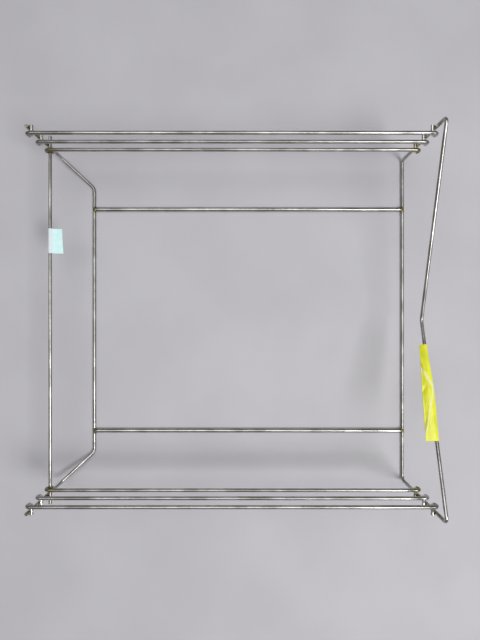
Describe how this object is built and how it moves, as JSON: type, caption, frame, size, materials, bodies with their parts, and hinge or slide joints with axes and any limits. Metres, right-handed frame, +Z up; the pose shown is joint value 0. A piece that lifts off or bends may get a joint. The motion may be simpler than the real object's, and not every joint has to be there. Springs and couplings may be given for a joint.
{
  "type": "wall mounted fold down drying rack",
  "caption": "Bent-wire drying rack: side rails with hooked ends on pins, a dipped front frame and an open wall frame, folding about a long hanging bar.",
  "frame": {"origin": "centre of the footprint, on the surface the rack stands on", "axes": "+Z up, +X from the wall end to the front end, +Y to the right seen from the front"},
  "size_m": [0.3402, 0.333, 0.1056],
  "materials": {
    "frame_wire": "satin drawn stainless wire",
    "rail_wire": "satin drawn stainless wire",
    "pin_wire": "satin stainless wire, bright cut ends",
    "base_rod": "satin stainless rod",
    "weld": "heat tinted weld",
    "tape": "glossy tape",
    "paper": "plain paper label"
  },
  "bodies": {
    "hanging_bar": {"hanging_bar": "pin_wire", "blue_label": "paper"},
    "rack": {"front_frame": "frame_wire", "front_left_lower_pin": "pin_wire", "front_left_middle_pin": "pin_wire", "front_left_pin_welds": "weld", "front_left_upper_pin": "pin_wire", "front_right_lower_pin": "pin_wire", "front_right_middle_pin": "pin_wire", "front_right_pin_welds": "weld", "front_right_upper_pin": "pin_wire", "left_base_rod": "base_rod", "left_hook_weld": "weld", "left_lower_rail": "rail_wire", "left_middle_rail": "rail_wire", "left_rod_welds": "weld", "left_upper_rail": "rail_wire", "right_base_rod": "base_rod", "right_hook_weld": "weld", "right_lower_rail": "rail_wire", "right_middle_rail": "rail_wire", "right_rod_welds": "weld", "right_upper_rail": "rail_wire", "wall_frame": "frame_wire", "wall_left_middle_pin": "pin_wire", "wall_left_pin_welds": "weld", "wall_left_upper_pin": "pin_wire", "wall_right_middle_pin": "pin_wire", "wall_right_pin_welds": "weld", "wall_right_upper_pin": "pin_wire", "yellow_tag": "tape"}
  },
  "joints": [
    {"name": "rack_fold", "type": "hinge", "parent": "hanging_bar", "child": "rack", "pos_m": [-0.16532, 0, 0.04552], "axis": [0, -1, 0], "range_deg": [0, 90]}
  ]
}
